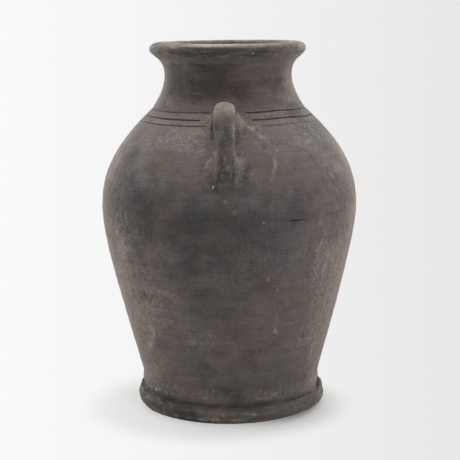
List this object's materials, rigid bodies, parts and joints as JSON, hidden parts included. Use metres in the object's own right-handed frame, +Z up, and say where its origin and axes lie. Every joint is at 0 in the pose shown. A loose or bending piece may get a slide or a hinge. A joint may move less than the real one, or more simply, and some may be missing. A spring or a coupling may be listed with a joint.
{
  "type": "two-handled vase",
  "caption": "Tall earthenware vase with a rolled lip, a grooved shoulder carrying small strap handles, a tapering body and a ringed foot.",
  "frame": {"origin": "centre of the foot, on the surface that the vase stands on", "axes": "+Z up the vase's axis; the front handle stands on -Y and the back handle on +Y"},
  "size_m": [0.2644, 0.2644, 0.38],
  "materials": {
    "washed_earthenware": "unglazed, under a dark grey-brown wash, matt, with rubbed and dusty patches",
    "handle_earthenware": "pulled by hand, under the same wash, rubbed pale on its crest",
    "luting_clay": "smeared with the fingers, under the same wash, dusty",
    "raw_earthenware": "bare fired clay, matt and sandy"
  },
  "bodies": {
    "root": {"base_disc": "raw_earthenware", "foot_ring": "washed_earthenware", "lower_wall": "washed_earthenware", "shoulder_wall": "washed_earthenware", "neck_collar": "washed_earthenware", "lip_roll": "washed_earthenware", "handle_front": "handle_earthenware", "handle_front_upper_wad": "luting_clay", "handle_front_lower_wad": "luting_clay", "handle_back": "handle_earthenware", "handle_back_upper_wad": "luting_clay", "handle_back_lower_wad": "luting_clay"}
  },
  "joints": []
}
